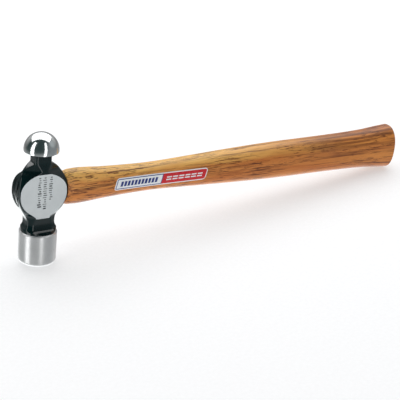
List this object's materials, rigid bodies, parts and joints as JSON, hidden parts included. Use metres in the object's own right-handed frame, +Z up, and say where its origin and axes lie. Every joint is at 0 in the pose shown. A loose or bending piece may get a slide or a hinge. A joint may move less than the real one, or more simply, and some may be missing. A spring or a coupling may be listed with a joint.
{
  "type": "ball peen hammer",
  "caption": "Metalworking hammer with a rounded peen, a round striking face, ground cheeks and a wedged oval hickory handle that flares at the butt.",
  "frame": {"origin": "centre of the footprint on the bench, at bench level, with the hammer at rest on the edge of its striking face and on its butt", "axes": "+X from the head towards the butt, +Z up from the bench, Y across the cheeks"},
  "size_m": [0.3588, 0.0286, 0.1027],
  "materials": {
    "head_steel": "gloss dark lacquer on forged steel, with the cheeks, ball and striking face left bright",
    "hickory": "clear lacquered hickory with open pores and dark growth streaks",
    "wedge_wood": "sawn hardwood",
    "wedge_steel": "mill finish, rubbed",
    "printed_foil": "printed foil with a clear gloss"
  },
  "bodies": {
    "root": {"head": "head_steel", "handle": "hickory", "wooden_wedge": "wedge_wood", "steel_wedge": "wedge_steel", "label": "printed_foil"}
  },
  "joints": []
}
